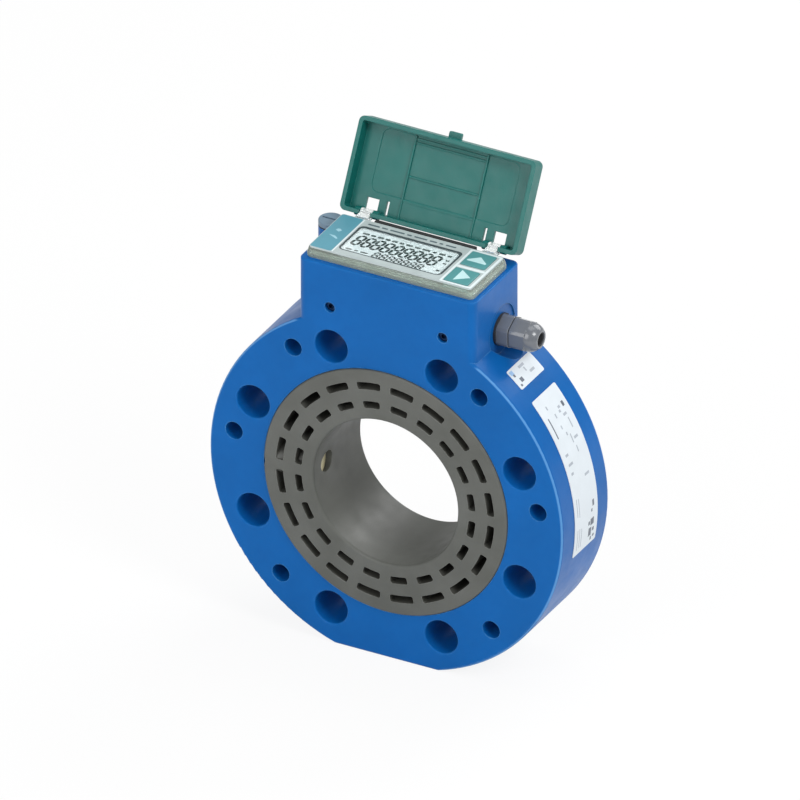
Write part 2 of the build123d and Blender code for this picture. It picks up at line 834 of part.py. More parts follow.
def display_housing():
    """Clear moulding over the head: wall, top plate, skirt, legs and hinge lugs."""
    half = display_w / 2
    body = plate(-half, half, display_front_y, display_back_y, display_base, display_top, display_corner)
    top_edges = body.faces().sort_by(Axis.Z)[-1].edges()
    body = chamfer(top_edges, display_chamfer_h, display_chamfer_w)
    floor_z = display_base + display_ring_t
    body = body - display_insides(display_wall, floor_z, plate_under)
    mouth_half = cavity_w / 2 - skirt_gap - skirt_t
    mouth_front = cavity_front_y + skirt_gap + skirt_t
    mouth_back = cavity_back_y - skirt_gap - skirt_t
    mouth = plate(-mouth_half, mouth_half, mouth_front, mouth_back, 0, floor_z + skim, skirt_t)
    body = body - mouth + skirt()
    for x in (-head_screw_x, head_screw_x):
        body = body + skirt_leg(x)
    for x in (-lug_x, lug_x):
        body = body + hinge_lug(x)
    cuts = [window_opening(window_ledge, plate_under - over, face_top), key_opening(up_key_y)]
    cuts.append(key_opening(right_key_y))
    for x in (-head_screw_x, head_screw_x):
        cuts.append(rod_y(head_screw_r + thread_gap, -body_t, cavity_front_y + leg_t + over, x, head_screw_z))
    return body - cuts


def lid_stop():
    """Rubber strip behind the display housing, where the wall of the open lid comes to rest."""
    half = lug_x - lug_w / 2 - lug_side_gap - knuckle_w - stop_side_gap
    back = display_back_y + stop_t
    strip = block(-half, half, display_back_y, back, display_base, display_top + stop_rise)
    return round_edges(strip, strip.faces().sort_by(Axis.Z)[-1].edges(), stop_round)


def display_gasket():
    """Flat gasket under the display housing."""
    half = display_w / 2 - gasket_land
    front = display_front_y + gasket_land
    back = display_back_y - gasket_land
    outer = plate(-half, half, front, back, head_top, display_base, display_corner)
    inner_half = cavity_w / 2 + gasket_hole_gap
    hole_front = cavity_front_y - gasket_hole_gap
    hole_back = cavity_back_y + gasket_hole_gap
    hole = plate(-inner_half, inner_half, hole_front, hole_back, 0, 2 * head_top, cavity_corner)
    return outer - hole


def faceplate():
    """Printed plate on top, open for the window and the keys."""
    sheet = plate(-face_w / 2, face_w / 2, face_front_y, face_back_y, display_top, face_top, face_corner)
    return sheet - [window_opening(0, 0, 2 * face_top), key_opening(up_key_y), key_opening(right_key_y)]


def lcd_lens():
    """Window pane in the faceplate."""
    return window_opening(lens_gap, display_top, display_top + lens_t)


def lcd_module():
    """Display glass: a lower pane under the plate, an upper pane in its opening."""
    x0, x1 = window_x
    y0, y1 = window_y
    lower = block(
        x0 - lcd_ledge, x1 + lcd_ledge, y0 - lcd_ledge, y1 + lcd_ledge, plate_under - lcd_lower_t, plate_under
    )
    upper = window_opening(window_ledge + lcd_gap, plate_under, display_top - lcd_sunk)
    return lower + upper


def key(y):
    """Key cap with a flange under the plate and a stem over its switch."""
    half = key_side / 2
    flange_top = plate_under - key_flange_gap
    flange_bottom = flange_top - key_flange_t
    top = face_top + key_proud
    cap = plate(key_x - half, key_x + half, y - half, y + half, flange_bottom, top, key_corner)
    cap = round_edges(cap, cap.faces().sort_by(Axis.Z)[-1].edges(), key_round)
    wide = half + key_flange
    flange = block(key_x - wide, key_x + wide, y - wide, y + wide, flange_bottom, flange_top)
    stem_bottom = board_top + switch_t + switch_button_t + key_travel + key_flange_gap
    return cap + flange + rod_z(key_stem_r, stem_bottom, flange_bottom, key_x, y)


def key_switch(y):
    """Small push switch on the board."""
    half = switch_side / 2
    top = board_top + switch_t
    base = block(key_x - half, key_x + half, y - half, y + half, board_top, top)
    return base + rod_z(switch_button_r, top, top + switch_button_t, key_x, y)


def main_board():
    """Circuit board on the cradle's posts."""
    half = cavity_w / 2 - skirt_gap - skirt_t - board_gap
    front = cavity_front_y + skirt_gap + skirt_t + board_gap
    back = cavity_back_y - skirt_gap - skirt_t - board_gap
    board = plate(-half, half, front, back, board_bottom, board_top, skirt_t)
    cuts = [rod_z(board_screw_r + hole_gap / 2, 0, 2 * head_top, x, y) for x, y in board_screw_spots]
    leg_back = cavity_front_y + skirt_gap + leg_t + board_gap
    for x in (-head_screw_x, head_screw_x):
        reach = leg_w / 2 + board_gap
        cuts.append(block(x - reach, x + reach, -body_t, leg_back, 0, 2 * head_top))
    return board - cuts


def board_screws():
    """Small screws through the board into the posts."""
    screws = []
    for x, y in board_screw_spots:
        head = rod_z(board_screw_head_r, board_top, board_top + board_screw_head_t, x, y)
        shank = rod_z(board_screw_r, board_top - board_screw_depth, board_top, x, y)
        length, width, depth = board_screw_slot
        slot = Pos(x, y, board_top + board_screw_head_t) * Box(length, width, 2 * depth)
        screws.append(head + shank - slot)
    return screws


def connector_strips():
    """Soft contact strips between the board and the display glass."""
    x0, x1 = strip_x
    top = plate_under - lcd_lower_t
    return [block(x0, x1, y, y + strip_w, board_top, top) for y in strip_y]


def battery():
    """Battery cell lying along X, with its small end contact."""
    half = battery_len / 2
    cell = rod_x(battery_r, -half, half - battery_tip_t, battery_y, battery_z)
    cell = round_edges(cell, cell.edges().filter_by(GeomType.CIRCLE), battery_round)
    return cell + rod_x(battery_tip_r, half - 2 * battery_tip_t, half, battery_y, battery_z)


def battery_cradle():
    """Tray on the cavity floor: battery saddles, end walls and posts for the board."""
    half = cavity_lower_w / 2 - cradle_gap
    front = cavity_front_y + cradle_gap + leg_t + skirt_gap
    back = cavity_lower_back_y - cradle_gap
    floor = plate(-half, half, front, back, cavity_floor_z, cradle_floor_top, cavity_corner)
    lead_x = lead_circle_r * math.cos(math.radians(lead_top_angle)) + 2 * lead_way_r
    room_front = lead_rise_y - 2 * lead_way_r
    floor = floor - block(-lead_x, lead_x, room_front, body_t, 0, head_top)
    reach = battery_len / 2 + battery_gap
    pieces = []
    for side in (1, -1):
        x0, x1 = sorted((side * reach, side * (reach + cradle_wall)))
        wall_half = cradle_wall_w / 2
        wall_y0 = battery_y - wall_half
        wall_y1 = battery_y + wall_half
        pieces.append(block(x0, x1, wall_y0, wall_y1, cavity_floor_z, cradle_wall_top))
        x = side * saddle_x
        saddle = block(
            x - saddle_t / 2, x + saddle_t / 2, wall_y0, wall_y1, cavity_floor_z, battery_z - battery_r / 2
        )
        pieces.append(saddle)
    for x, y in board_screw_spots:
        pieces.append(rod_z(post_r, cavity_floor_z, board_bottom, x, y))
    solid = floor.fuse(*pieces)
    cell_room = rod_x(battery_r + battery_gap, -reach, reach, battery_y, battery_z)
    way_y0 = gland_y - cradle_way_half
    way_y1 = gland_y + cradle_way_half
    cable_way = block(gland_way_end_x, body_r, way_y0, way_y1, 0, battery_z)
    pilot_bottom = board_top - board_screw_depth - over
    pilots = [
        rod_z(board_screw_r + thread_gap, pilot_bottom, head_top, x, y) for x, y in board_screw_spots
    ]
    return solid - ([cell_room, cable_way] + pilots)


# Lid


def lid_inner_top():
    """Height of the inside of the closed lid's floor."""
    return lid_top - lid_floor


def lid_tray():
    """Tray of the lid: outer shell less its room, with a shallow panel in the floor."""
    half = lid_w / 2
    tray = plate(-half, half, lid_front_y, lid_back_y, lid_bottom, lid_top, lid_corner)
    tray = round_edges(tray, tray.faces().sort_by(Axis.Z)[-1].edges(), lid_edge_round)
    inner = half - lid_wall
    front = lid_front_y + lid_wall
    back = lid_back_y - lid_wall
    room = plate(-inner, inner, front, back, lid_bottom - over, lid_inner_top(), lid_inner_corner)
    y0, y1 = lid_panel_y
    step_top = lid_inner_top() + lid_panel_step
    panel = plate(-lid_panel_x, lid_panel_x, y0, y1, lid_bottom, step_top, lid_panel_corner)
    return tray - [room, panel]


def lid_ribs():
    """Shallow ribs on the inside of the lid's floor."""
    top = lid_inner_top() + lid_panel_step
    low = lid_inner_top() - rib_h + lid_panel_step
    y0, y1 = lid_panel_y
    back = lid_back_y - lid_wall
    ribs = []
    for x in (-lid_rib_x, lid_rib_x):
        ribs.append(block(x - rib_w / 2, x + rib_w / 2, y0, back, low - rib_h, top))
    for y in lid_cross_rib_y:
        ribs.append(block(-lid_rib_x, lid_rib_x, y - rib_w / 2, y + rib_w / 2, low, top))
    return ribs


def lid_knuckles():
    """Barrels on both sides of each slot, and a rib joining them to the floor."""
    solids = []
    slot_half = lug_w / 2 + lug_side_gap
    for side in (1, -1):
        for inner in (lug_x - slot_half - knuckle_w, lug_x + slot_half):
            x0, x1 = sorted((side * inner, side * (inner + knuckle_w)))
            solids.append(rod_x(knuckle_r, x0, x1, hinge_y, hinge_z))
            web_back = lid_back_y - lid_wall / 4
            web_top = lid_inner_top() + knuckle_sink
            solids.append(block(x0, x1, hinge_y - knuckle_r, web_back, hinge_z, web_top))
    return solids


def lid_cuts():
    """Lug slots, small slits and pin holes of the lid."""
    cuts = []
    slot_half = lug_w / 2 + lug_side_gap
    slot_y = lid_back_y - slot_len
    slit_back = lid_back_y - lid_wall
    slit_y = slit_back - slit_len
    low = lid_inner_top() - over
    high = lid_top + over
    for side in (1, -1):
        x = side * lug_x
        cuts.append(block(x - slot_half, x + slot_half, slot_y, body_t, lid_bottom - over, high))
        x = side * slit_x
        cuts.append(block(x - slit_w / 2, x + slit_w / 2, slit_y, slit_back, low, high))
        reach = slot_half + knuckle_w + pin_hole_over
        x = side * lug_x
        cuts.append(rod_x(pin_r + pin_fit_gap, x - reach, x + reach, hinge_y, hinge_z))
    return cuts


def lid_tab():
    """Finger tab at the middle of the free edge."""
    half = tab_w / 2
    front = lid_front_y - tab_len
    tab = block(-half, half, front, lid_front_y + over, lid_top - tab_t, lid_top - tab_step)
    corners = [e for e in tab.edges().filter_by(Axis.Z) if e.center().Y < lid_front_y - tab_len / 2]
    return round_edges(tab, corners, tab_corner)


def swung_open(solid):
    """Solid drawn with the lid closed, swung to the open position about the hinge axis."""
    axis = Axis((0, hinge_y, hinge_z), (1, 0, 0))
    return solid.rotate(axis, -lid_open_angle)


def lid():
    """Hinged cover, open."""
    solid = lid_tray().fuse(*lid_ribs(), *lid_knuckles(), lid_tab())
    return swung_open(solid - lid_cuts())


def hinge_pins():
    """Two pins, held in the lid's knuckles and turning in the lugs."""
    reach = lug_w / 2 + lug_side_gap + knuckle_w
    pins = [rod_x(pin_r, x - reach, x + reach, hinge_y, hinge_z) for x in (-lug_x, lug_x)]
    return [swung_open(pin) for pin in pins]


# Labels


def rim_label(span):
    """Thin label on the rim between two angles above the level."""
    low, high = span
    y0, y1 = label_y
    outline = Pos(body_r + label_gap + label_t / 2, (y0 + y1) / 2) * Rectangle(label_t, y1 - y0)
    label = Rot(0, -high, 0) * revolve(outline, Axis.Y, high - low)
    corners = [e for e in label.edges() if e.length < 2 * label_t]
    return round_edges(label, corners, label_corner)


def write(name, solids):
    """Write one sub-part to its own file."""
    solids = solids if isinstance(solids, list) else [solids]
    members = [solid for shape in solids for solid in shape.solids()]
    body = members[0] if len(members) == 1 else Compound(children=members)
    body.label = name
    export_step(body, f"parts/{name}.step")


def main():
    """Make every sub-part and write it."""
    os.makedirs("parts", exist_ok=True)
    write("housing", housing())
    write("rear_clamp_ring", rear_clamp_ring())
    write("rear_gasket", rear_gasket())
    write("housing_screws", housing_screws())
    write("head_screws", head_screws())
    write("flow_insert", flow_insert())
    write("collar_seal", collar_seal())
    for name, side in (("left", -1), ("right", 1)):
        write(f"transducer_{name}", transducer(side))
        write(f"transducer_seal_{name}", transducer_seal(side))
        write(f"transducer_retainer_{name}", transducer_retainer(side))
        write(f"transducer_lead_{name}", transducer_lead(side))
    write("gland_washer", gland_washer())
    write("gland_body", gland_body())
    write("gland_nut", gland_nut())
    write("gland_seal", gland_seal())
    write("blanking_seal", blanking_seal())
    write("blanking_plug", blanking_plug())
    write("display_housing", display_housing())
    write("display_gasket", display_gasket())
    write("lid_stop", lid_stop())
    write("faceplate", faceplate())
    write("lcd_lens", lcd_lens())
    write("lcd_module", lcd_module())
    write("connector_strips", connector_strips())
    write("main_board", main_board())
    write("board_screws", board_screws())
    write("up_key", key(up_key_y))
    write("right_key", key(right_key_y))
    write("up_switch", key_switch(up_key_y))
    write("right_switch", key_switch(right_key_y))
    write("battery", battery())
    write("battery_cradle", battery_cradle())
    write("lid", lid())
    write("hinge_pins", hinge_pins())
    write("rating_label", rim_label(rating_label_span))
    write("inspection_label", rim_label(inspection_label_span))


main()
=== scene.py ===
import math

import bpy
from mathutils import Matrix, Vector


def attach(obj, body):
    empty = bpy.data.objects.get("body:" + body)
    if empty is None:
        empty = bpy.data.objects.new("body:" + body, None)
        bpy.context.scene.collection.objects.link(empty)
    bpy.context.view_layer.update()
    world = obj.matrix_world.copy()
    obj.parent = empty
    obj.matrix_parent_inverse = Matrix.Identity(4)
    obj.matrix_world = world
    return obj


# Looks of the ultrasonic water meter. Lengths are millimetres in the part's frame, and become metres where a
# mesh, a shader or the camera takes them. Lamps are placed in metres.
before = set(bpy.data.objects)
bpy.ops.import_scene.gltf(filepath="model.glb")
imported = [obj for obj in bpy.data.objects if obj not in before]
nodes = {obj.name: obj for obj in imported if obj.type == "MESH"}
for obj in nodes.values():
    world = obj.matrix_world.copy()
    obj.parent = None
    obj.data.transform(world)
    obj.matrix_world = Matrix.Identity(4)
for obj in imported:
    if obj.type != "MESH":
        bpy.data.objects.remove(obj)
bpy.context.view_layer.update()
MM = 0.001

# Camera: the photograph's parallel view from the right front and above, angles in degrees
CAMERA_AZIMUTH = 28.2
CAMERA_ELEVATION = 30.3
CAMERA_WIDTH = 391.7
CAMERA_AIM = (-12.15, 13.16, 29.68)
CAMERA_DISTANCE = 1000.0

# Thickness of the printed layers, and the surfaces that they lie on
PRINT_T = 0.03
GLASS_TOP = 124.5
LENS_TOP = 125.4
FACE_TOP = 125.5
KEY_TOP = 126.0
LABEL_R = 98.3

# Forms of the CAD part that a look follows
RING_R = 98.0
RING_HALF_T = 24.0
HEAD_FOOT_Z = 84.2
LUGS_FROM_Y = 16.2
FOOT_Z = -93.7

# Noise keeps mostly between these two values
NOISE_LOW = 0.3
NOISE_HIGH = 0.7

# Masks: rays for each sample, how far two normals agree off an edge and on it, and the open share of the
# surroundings off a crease and in it
MASK_RAYS = 4
EDGE_AGREES = (0.995, 0.86)
CREASE_OPEN = (0.75, 0.2)

# Stage: half the floor's side in metres, its grey, the share of it that glows white, and the world's light
FLOOR_HALF = 4.0
FLOOR_GREY = 0.86
FLOOR_GLOW = 0.89
WORLD_LIGHT = 0.46

# Lamps: place, side of the square and power in watts
LAMPS = {
    "key": ((1.5, -0.6, 1.6), 0.7, 20),
    "fill": ((-0.3, -1.8, 1.0), 1.2, 15),
    "top": ((0.1, 0.3, 2.0), 1.2, 8),
    "back": ((0.5, 1.7, 1.3), 1.3, 19),
}


def srgb(red, green, blue):
    """Linear colour with alpha, from 0 to 255 screen values."""
    def linear(value):
        value = value / 255
        return value / 12.92 if value <= 0.04045 else ((value + 0.055) / 1.055) ** 2.4

    return (linear(red), linear(green), linear(blue), 1.0)


def scaled(colour, factor):
    """Colour made lighter or darker."""
    return tuple(min(1.0, c * factor) for c in colour[:3]) + (1.0,)


# Materials


class Finish:
    """A material being built: its Principled shader and short calls for the nodes that feed it."""

    def __init__(self, name, colour, roughness, **constants):
        self.material = bpy.data.materials.new(name)
        self.material.use_nodes = True
        self.tree = self.material.node_tree
        self.shader = self.tree.nodes["Principled BSDF"]
        self.set(self.shader, "Base Color", colour)
        self.set(self.shader, "Roughness", roughness)
        for socket, value in constants.items():
            self.set(self.shader, socket.replace("_", " "), value)
        self.place = self.add("TexCoord").outputs["Object"]

    def set(self, node, socket, value):
        """Gives a socket a value, or links it to another node's output."""
        if isinstance(value, bpy.types.NodeSocket):
            self.tree.links.new(value, node.inputs[socket])
        else:
            node.inputs[socket].default_value = value

    def add(self, kind, **sockets):
        """New node with its sockets set."""
        node = self.tree.nodes.new("ShaderNode" + kind)
        for socket, value in sockets.items():
            self.set(node, socket, value)
        return node

    def noise(self, size, detail=3.0, roughness=0.55, stretch=None):
        """Noise from 0 to 1 with features of about that size in millimetres."""
        place = self.place
        if stretch:
            mapping = self.add("Mapping", Vector=self.place, Scale=stretch)
            place = mapping.outputs["Vector"]
        node = self.add("TexNoise", Vector=place, Scale=1 / (size * MM), Detail=detail, Roughness=roughness)
        return node.outputs["Fac"]

    def remap(self, value, low, high, to_low=0.0, to_high=1.0):
        """Value between low and high, laid out between two other values and held there."""
        node = self.add("MapRange", Value=value)
        limits = {"From Min": low, "From Max": high, "To Min": to_low, "To Max": to_high}
        for socket, number in limits.items():
            self.set(node, socket, number)
        return node.outputs["Result"]

    def spread(self, noise, to_low=0.0, to_high=1.0):
        """Noise laid out over the whole way between two values."""
        return self.remap(noise, NOISE_LOW, NOISE_HIGH, to_low, to_high)

    def math(self, operation, a, b=0.5):
        """One Math node. The second value goes unused by an operation on one."""
        node = self.add("Math")
        node.operation = operation
        self.set(node, 0, a)
        self.set(node, 1, b)
        return node.outputs["Value"]

    def mix(self, share, a, b):
        """Colour a turning to colour b as share goes from 0 to 1."""
        node = self.add("Mix")
        node.data_type = "RGBA"
        for socket, value in ((0, share), (6, a), (7, b)):
            self.set(node, socket, value)
        return node.outputs[2]

    def edges(self, width):
        """Soft normal within that width of sharp edges, and a mask that is 1 on them, which the finishes use
        for lighter edges, partly wear and partly a painted highlight.
        """
        bevel = self.add("Bevel", Radius=width * MM)
        bevel.samples = MASK_RAYS
        normal = self.add("NewGeometry").outputs["Normal"]
        dot = self.add("VectorMath")
        dot.operation = "DOT_PRODUCT"
        self.set(dot, 0, bevel.outputs["Normal"])
        self.set(dot, 1, normal)
        return bevel.outputs["Normal"], self.remap(dot.outputs["Value"], *EDGE_AGREES)

    def corners(self, reach):
        """Mask that is 1 in creases and holes that are about as wide as reach, in millimetres, where the
        finishes paint shade.
        """
        shade = self.add("AmbientOcclusion", Distance=reach * MM)
        shade.samples = MASK_RAYS
        return self.remap(shade.outputs["AO"], *CREASE_OPEN)

    def bumps(self, normal, *layers):
        """Stacks bump layers, each a height from 0 to 1 and its depth in millimetres, over a normal."""
        for height, depth in layers:
            bump = self.add("Bump", Height=height, Normal=normal, Distance=depth * MM)
            normal = bump.outputs["Normal"]
        self.set(self.shader, "Normal", normal)

    def tint(self, colour):
        """Sends a worked-out colour to the shader."""
        self.set(self.shader, "Base Color", colour)

    def polish(self, value, low, high):
        """Roughness that follows a noise between two values."""
        self.set(self.shader, "Roughness", self.spread(value, low, high))


def moulded(name, colour, low, high, grain=0.5, depth=0.01, edge=0.25, wear_and_highlight=1.25, corner_shade=0.75, **constants):
    """Moulded plastic or rubber: faint mottling, fine grain, edges rubbed lighter with a painted highlight,
    and painted shade in the corners.

    Its roughness goes from low to high. Grain, its depth and edge are in millimetres. Wear_and_highlight says
    how much lighter the rubbed, highlighted edges are, and corner_shade how much darker the painted shade in
    the corners is.
    """
    finish = Finish(name, colour, high, **constants)
    normal, rim = finish.edges(edge)
    patches = finish.noise(18.0)
    fine = finish.noise(grain, detail=4.0)
    body = finish.mix(finish.spread(patches), scaled(colour, 0.93), scaled(colour, 1.06))
    body = finish.mix(finish.remap(fine, 0.35, 0.65, 0.0, 0.35), body, scaled(colour, 0.86))
    # Lighter edges: partly wear, partly a painted highlight
    rub_and_highlight = finish.math("MULTIPLY", rim, finish.remap(finish.noise(3.0), 0.35, 0.65, 0.25, 0.8))
    body = finish.mix(rub_and_highlight, body, scaled(colour, wear_and_highlight))
    # Painted shade: darker in corners and creases, broken up by the mottling
    crease = finish.math("MULTIPLY", finish.corners(4.0), finish.spread(patches, 0.35, 0.7))
    finish.tint(finish.mix(crease, body, scaled(colour, corner_shade)))
    finish.polish(finish.noise(6.0, detail=5.0), low, high)
    finish.bumps(normal, (fine, depth), (patches, 4 * depth))
    return finish


def ring_edge_highlight(finish):
    """Mask that is 1 on the rounded edge between the ring's faces and its rim, below the head, where a
    painted highlight goes.
    """
    parts = finish.add("SeparateXYZ", Vector=finish.place).outputs
    squares = [finish.math("MULTIPLY", parts[axis], parts[axis]) for axis in ("X", "Z")]
    radius = finish.math("SQRT", finish.math("ADD", *squares))
    depth = finish.math("ABSOLUTE", parts["Y"])
    far, near, fade = 1.1, 0.7, 1.0
    near_rim = finish.remap(radius, (RING_R - far) * MM, (RING_R - near) * MM)
    near_face = finish.remap(depth, (RING_HALF_T - far) * MM, (RING_HALF_T - near) * MM)
    below_head = finish.remap(parts["Z"], HEAD_FOOT_Z * MM, (HEAD_FOOT_Z - fade) * MM)
    return finish.math("MULTIPLY", finish.math("MULTIPLY", near_rim, near_face), below_head)


def painted_casting():
    """Blue epoxy coat on the casting: orange peel, soft edges rubbed lighter with a painted highlight, a
    painted highlight line along the ring's edge, and painted shade in corners and holes.
    """
    colour = srgb(8, 93, 166)
    finish = Finish("blue_coat", colour, 0.36, Coat_Weight=0.05, Specular_IOR_Level=0.26)
    finish.set(finish.shader, "Specular Tint", srgb(150, 196, 244))
    normal, rim = finish.edges(0.9)
    cloud = finish.noise(45.0, detail=2.0)
    peel = finish.noise(1.6, detail=2.0, roughness=0.4)
    pits = finish.noise(5.0, detail=4.0)
    body = finish.mix(finish.spread(cloud), scaled(colour, 0.92), scaled(colour, 1.08))
    body = finish.mix(finish.remap(pits, 0.4, 0.75, 0.0, 0.25), body, srgb(4, 82, 154))
    # Lighter edges: partly wear, partly a painted highlight
    rub_and_highlight = finish.math("MULTIPLY", rim, finish.remap(finish.noise(4.0, detail=5.0), 0.35, 0.62, 0.15, 0.75))
    body = finish.mix(rub_and_highlight, body, srgb(92, 158, 214))
    # Painted highlight: a light line along the ring's front and rear edges
    body = finish.mix(finish.math("MULTIPLY", ring_edge_highlight(finish), 0.5), body, srgb(118, 176, 228))
    # Painted shade: a darker blue in corners, creases and bolt holes
    crease = finish.math("MULTIPLY", finish.corners(9.0), finish.spread(pits, 0.1, 0.25))
    finish.tint(finish.mix(crease, body, srgb(2, 72, 156)))
    finish.polish(finish.noise(12.0, detail=5.0), 0.3, 0.44)
    finish.bumps(normal, (peel, 0.02), (pits, 0.05))
    return finish


def insert_plastic():
    """Grey moulded insert: even fine grain, faint flow lines round the bore, edges rubbed lighter with a
    painted highlight, and painted shade in the pockets.
    """
    finish = Finish("grey_insert", srgb(94, 97, 93), 0.45)
    normal, rim = finish.edges(0.5)
    grain = finish.noise(0.6, detail=4.0)
    flow = finish.noise(26.0, detail=4.0, stretch=(1.0, 0.25, 1.0))
    body = finish.mix(finish.remap(flow, 0.35, 0.65), srgb(82, 84, 79), srgb(94, 96, 92))
    body = finish.mix(finish.remap(grain, 0.35, 0.7, 0.0, 0.4), body, srgb(82, 84, 80))
    # Lighter edges: partly wear, partly a painted highlight
    rub_and_highlight = finish.math("MULTIPLY", rim, finish.remap(finish.noise(2.5), 0.35, 0.65, 0.3, 0.9))
    body = finish.mix(rub_and_highlight, body, srgb(146, 147, 142))
    # Painted shade: darker in the pockets and creases
    finish.tint(finish.mix(finish.math("MULTIPLY", finish.corners(7.0), 0.75), body, srgb(58, 56, 50)))
    finish.polish(finish.noise(9.0, detail=4.0), 0.42, 0.56)
    finish.bumps(normal, (grain, 0.012), (flow, 0.06))
    return finish


def plated_metal(name, colour):
    """Plated steel: streaked sheen, dull patches and a painted highlight on the edges."""
    finish = Finish(name, colour, 0.3, Metallic=1.0)
    normal, rim = finish.edges(0.2)
    streaks = finish.noise(0.9, detail=5.0, stretch=(1.0, 0.15, 1.0))
    dull = finish.noise(2.5, detail=4.0)
    body = finish.mix(finish.remap(dull, 0.35, 0.7), colour, scaled(colour, 0.7))
    # Painted highlight on the edges
    finish.tint(finish.mix(finish.math("MULTIPLY", rim, 0.6), body, scaled(colour, 1.7)))
    finish.polish(streaks, 0.22, 0.46)
    finish.bumps(normal, (streaks, 0.008))
    return finish


def clear_moulding():
    """Clear moulding, slightly green and cloudy, with painted highlights on its edges and hinge lugs at the
    back painted near white for the light that shows through them.
    """
    colour = srgb(196, 208, 198)
    finish = Finish("clear_plastic", colour, 0.08, Transmission_Weight=0.72, IOR=1.22, Coat_Weight=0.6)
    lugs_fade = 0.6
    normal, rim = finish.edges(0.35)
    cloud = finish.noise(16.0, detail=2.0)
    scuffs = finish.noise(5.0, detail=4.0, stretch=(0.3, 1.0, 1.0))
    body = finish.mix(finish.spread(cloud), srgb(186, 199, 186), srgb(206, 218, 208))
    depth = finish.add("SeparateXYZ", Vector=finish.place).outputs["Y"]
    # Painted light: the hinge lugs turn near white, standing in for the light through them
    lugs_light = finish.remap(depth, LUGS_FROM_Y * MM, (LUGS_FROM_Y + lugs_fade) * MM)
    body = finish.mix(lugs_light, body, srgb(248, 251, 250))
    # Painted highlight on the edges
    finish.tint(finish.mix(finish.math("MULTIPLY", rim, 0.8), body, srgb(240, 248, 246)))
    finish.polish(scuffs, 0.04, 0.12)
    finish.bumps(normal, (cloud, 0.006))
    return finish


def clear_pane():
    """Window pane: clear, with a few fine wipe marks in its gloss."""
    finish = Finish("clear_window", srgb(246, 250, 249), 0.03, Transmission_Weight=1.0, IOR=1.35)
    wipes = finish.noise(2.0, detail=5.0, stretch=(0.2, 1.0, 1.0))
    finish.polish(wipes, 0.02, 0.07)
    finish.bumps(finish.add("NewGeometry").outputs["Normal"], (wipes, 0.001))
    return finish


def display_glass():
    """Display glass: pale cool grey, a little cloudy, with a soft sheen."""
    finish = Finish("lcd_glass", srgb(196, 201, 198), 0.25, Coat_Weight=0.3, Coat_Roughness=0.1)
    film = finish.noise(0.35, detail=3.0)
    cloud = finish.noise(12.0, detail=2.0)
    body = finish.mix(finish.spread(cloud), srgb(186, 195, 198), srgb(203, 210, 213))
    finish.tint(finish.mix(finish.remap(film, 0.4, 0.7, 0.0, 0.25), body, srgb(166, 175, 178)))
    finish.polish(film, 0.2, 0.34)
    finish.bumps(finish.add("NewGeometry").outputs["Normal"], (film, 0.002))
    return finish


def printed(name, colour, low=0.35, high=0.5, fleck=0.08):
    """Ink or printed film: fine flecks and a roughness that goes from low to high."""
    finish = Finish(name, colour, high)
    fleck_map = finish.noise(0.25, detail=3.0)
    cloud = finish.noise(9.0, detail=3.0)
    body = finish.mix(finish.spread(cloud), scaled(colour, 1 - fleck), scaled(colour, 1 + fleck))
    finish.tint(finish.mix(finish.remap(fleck_map, 0.4, 0.75, 0.0, 0.3), body, scaled(colour, 0.85)))
    finish.polish(cloud, low, high)
    finish.bumps(finish.add("NewGeometry").outputs["Normal"], (fleck_map, 0.003))
    return finish


# Looks by the CAD nodes' slot names, then the few nodes that have a look of their own
finishes = {
    "blue_coat": painted_casting(),
    "grey_insert": insert_plastic(),
    "plated_steel": plated_metal("plated_steel", srgb(164, 168, 172)),
    "clear_plastic": clear_moulding(),
    "clear_window": clear_pane(),
    "lcd_glass": display_glass(),
    "black_rubber": moulded("black_rubber", srgb(44, 45, 46), 0.55, 0.75, grain=0.4),
    "transducer_face": moulded("transducer_face", srgb(205, 196, 158), 0.35, 0.5, grain=0.3),
    "dark_plastic": moulded("dark_plastic", srgb(58, 60, 62), 0.4, 0.55),
    "lead_sleeve": moulded("lead_sleeve", srgb(70, 72, 76), 0.45, 0.6, grain=0.3),
    "gland_grey": moulded(
        "gland_grey", srgb(104, 108, 114), 0.12, 0.26, depth=0.003, edge=0.7, wear_and_highlight=1.6, Coat_Weight=0.4
    ),
    "plug_grey": moulded("plug_grey", srgb(112, 136, 154), 0.3, 0.45, grain=0.4, edge=0.5),
    "board_green": moulded("board_green", srgb(38, 92, 62), 0.35, 0.5, grain=0.3),
    "key_teal": moulded("key_teal", srgb(84, 150, 152), 0.35, 0.5, grain=0.25, depth=0.004, edge=0.4),
    "battery_sleeve": moulded("battery_sleeve", srgb(196, 190, 170), 0.3, 0.45),
    "teal_cover": moulded(
        "teal_cover", srgb(4, 104, 98), 0.32, 0.46, grain=0.35, depth=0.006, edge=0.6, wear_and_highlight=1.5
    ),
    "faceplate_print": printed("faceplate_print", srgb(184, 196, 196)),
    "label_white": printed("label_white", srgb(214, 222, 228), 0.4, 0.55, fleck=0.03),
}
for name, node in nodes.items():
    slot_name = node.data.materials[0].name.split(".")[0]
    node.data.materials[0] = finishes[slot_name].material
own_looks = {
    "display_gasket": moulded(
        "clear_seal", srgb(176, 190, 190), 0.4, 0.6, grain=0.4, Transmission_Weight=0.4
    ),
    "gland_seal": finishes["dark_plastic"],
    "head_screws": plated_metal("dark_screw", srgb(38, 62, 96)),
}
for name, finish in own_looks.items():
    nodes[name].data.materials[0] = finish.material
for name in ("lcd_lens", "display_housing"):
    nodes[name].visible_shadow = False

